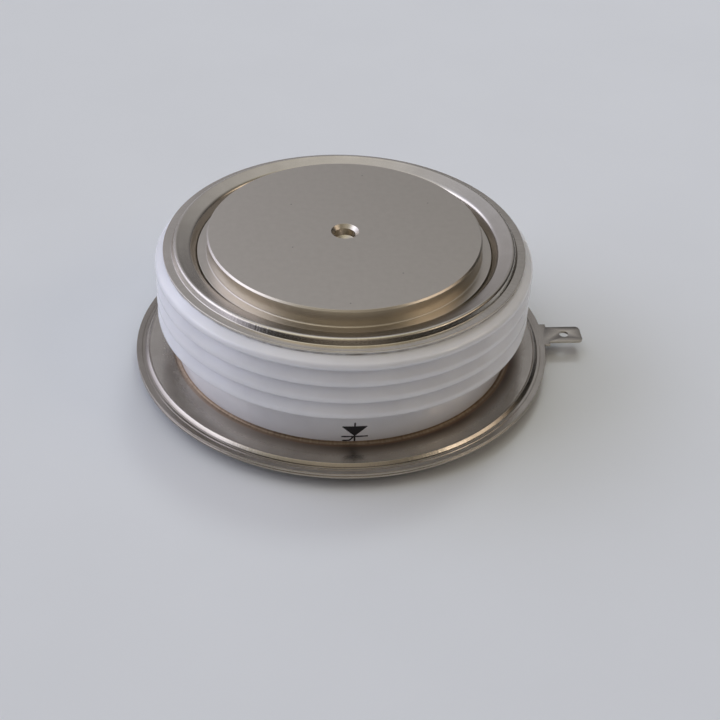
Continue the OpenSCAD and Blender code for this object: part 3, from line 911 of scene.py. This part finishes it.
# The general sign for a thyristor, printed upside down on the band: strokes as (run, height) points
MARK_DIRECTION = math.radians(275.9)
RASTER = 0.2
INK_DOT_R = 0.15
INK_H = 0.02
SIGN_LEAD = ((0.0, 4.1), (0.0, 8.0))
SIGN_BAR = ((-2.1, 5.15), (2.1, 5.15))
SIGN_GATE = ((-0.25, 5.05), (-0.85, 4.35), (-1.95, 4.3))
SIGN_TRIANGLE = ((-1.95, 7.22), (1.95, 7.22), (0.0, 5.4))


def stroke_dots(stroke):
    """Raster points along a stroke, evenly spaced."""
    dots = []
    for (x0, z0), (x1, z1) in zip(stroke, stroke[1:]):
        steps = max(1, round(math.hypot(x1 - x0, z1 - z0) / RASTER))
        dots += [(x0 + (x1 - x0) * i / steps, z0 + (z1 - z0) * i / steps) for i in range(steps + 1)]
    return dots


def triangle_dots():
    """Raster points inside the sign's filled triangle."""
    (left, top), (right, _), (_, tip) = SIGN_TRIANGLE
    rows = round((top - tip) / RASTER)
    dots = []
    for row in range(rows + 1):
        height = top - (top - tip) * row / rows
        half = (right - left) / 2 * (1 - row / rows)
        across = round(2 * half / RASTER)
        dots += [(-half + 2 * half * i / max(1, across), height) for i in range(across + 1)]
    return dots


def printed_sign():
    """The sign's dots, each raster place inked once."""
    dots = [d for stroke in (SIGN_LEAD, SIGN_BAR, SIGN_GATE) for d in stroke_dots(stroke)]
    places = {(round(x / RASTER * 2), round(z / RASTER * 2)): (x, z)
              for x, z in dots + triangle_dots()}
    points = [(x * MM, 0, z * MM) for x, z in places.values()]
    return run_tree(mesh_piece("printed_sign", points), marking_tree(), {
        "Dot radius": INK_DOT_R * MM, "Ink height": INK_H * MM, "Band radius": band_r * MM,
        "Direction": MARK_DIRECTION, "Ink": ink})


def braze_at_foot():
    """The ring of braze in the corner between the insulator and the flange."""
    points = [(r, ceramic_bottom + h, round_r) for r, h, round_r in braze_bead]
    return ring_piece("braze_at_insulator_foot", rounded_loop(points), braze)


settle(printed_sign(), None)
settle(braze_at_foot(), None)


# Camera at the photograph's place: focal length in image widths, pose from the capsule's ellipses
SENSOR = 36.0
FOCAL_SHARE = 1372.5 / 720
CAMERA_PLACE = (3.5, -204.254, 154.456)
CAMERA_ELEVATION = math.radians(37.403)
CAMERA_ROLL = math.radians(2.267)


def set_camera():
    """The photograph's camera, a little rolled, with no shift and no depth of field."""
    data = bpy.data.cameras.new("camera")
    data.sensor_width = SENSOR
    data.lens = SENSOR * FOCAL_SHARE
    data.clip_start = 0.01
    data.clip_end = 20
    camera = bpy.data.objects.new("camera", data)
    bpy.context.scene.collection.objects.link(camera)
    tilt = Matrix.Rotation(math.pi / 2 - CAMERA_ELEVATION, 4, "X")
    roll = Matrix.Rotation(CAMERA_ROLL, 4, "Z")
    camera.matrix_world = Matrix.Translation(Vector(CAMERA_PLACE) * MM) @ tilt @ roll
    bpy.context.scene.camera = camera


def from_direction(azimuth, elevation):
    """The unit vector towards a direction in degrees."""
    a, e = math.radians(azimuth), math.radians(elevation)
    return Vector((math.cos(a) * math.cos(e), math.sin(a) * math.cos(e), math.sin(e)))


def soft_light(name, azimuth, elevation, size, power, colour):
    """A soft rectangular light a metre from the capsule, looking at it: degrees, metres, watts."""
    data = bpy.data.lights.new(name, "AREA")
    data.shape = "RECTANGLE"
    data.size, data.size_y = size
    data.energy = power
    data.color = linear(colour)[:3]
    lamp = bpy.data.objects.new(name, data)
    bpy.context.scene.collection.objects.link(lamp)
    back = from_direction(azimuth, elevation)
    lamp.matrix_world = Matrix.Translation(back) @ back.to_track_quat("Z", "Y").to_matrix().to_4x4()
    return lamp


# Soft lights of the room as lobes of its walls and ceiling: azimuth and elevation in degrees, how
# narrow, strength, colour. The window is the group round azimuth 172, on the left.
ROOM_LIGHTS = (
    (180, 34, 10, 0.35, "#f6f9ff"),
    (146, 36, 60, 2.5, "#e4e8ff"),
    (172, 36, 60, 2.9, "#e4e8ff"),
    (198, 36, 60, 2.5, "#e4e8ff"),
    (146, 14, 40, 1.6, "#e4e6ff"),
    (172, 14, 40, 1.8, "#e4e6ff"),
    (198, 14, 40, 1.6, "#e4e6ff"),
    (118, 34, 14, 0.42, "#eef0ff"),
    (144, 60, 12, 0.45, "#bdceff"),
    (0, 90, 10, 0.84, "#fff9e0"),
    (108, 8, 14, 0.4, "#f5f4ff"),
    (66, 34, 14, 0.24, "#f6f6ff"),
    (80, 58, 12, 0.44, "#f6f9ff"),
    (2, 36, 60, 2.0, "#ffecd8"),
    (200, 60, 12, 0.6, "#fffcf0"),
    (330, 34, 60, 0.8, "#fff4e4"),
    (275, 38, 10, 0.4, "#fff0e0"),
)


def set_room():
    """The room's light: a wide window on the left, paler behind and above, and warm on the right.

    Little light comes from in front, so the metal there reflects a dark room."""
    world = bpy.data.worlds.new("room")
    bpy.context.scene.world = world
    world.use_nodes = True
    tree = world.node_tree
    way = add(tree, "ShaderNodeTexCoord").outputs["Generated"]
    total = None
    for azimuth, elevation, narrow, strength, colour in ROOM_LIGHTS:
        facing = add(tree, "ShaderNodeVectorMath", {0: way, 1: from_direction(azimuth, elevation)},
                     operation="DOT_PRODUCT").outputs["Value"]
        front = add(tree, "ShaderNodeMath", {0: facing, 1: 0.0}, operation="MAXIMUM").outputs[0]
        lobe = add(tree, "ShaderNodeMath", {0: front, 1: float(narrow)},
                   operation="POWER").outputs[0]
        tint = [c * strength for c in linear(colour)[:3]]
        lit = add(tree, "ShaderNodeVectorMath", {0: tint, 3: lobe}, operation="SCALE").outputs[0]
        total = lit if total is None else add(
            tree, "ShaderNodeVectorMath", {0: total, 1: lit}, operation="ADD").outputs[0]
    tree.links.new(total, tree.nodes["Background"].inputs["Color"])


def set_floor():
    """A square of pale card, so wide that its edge stays out of the photograph's view."""
    half = 1.5
    corners = [(-half, -half, 0), (half, -half, 0), (half, half, 0), (-half, half, 0)]
    floor = mesh_piece("floor", corners, faces=[(0, 1, 2, 3)])
    floor.data.materials.append(paper_floor())


set_camera()
set_room()
set_floor()
soft_light("card_right", 340, 36, (0.12, 0.3), 0.35, "#ffeeda")
soft_light("key_behind", 75, 55, (0.2, 0.2), 1.2, "#fbfffd").visible_glossy = False
bpy.context.scene.view_settings.view_transform = "Standard"
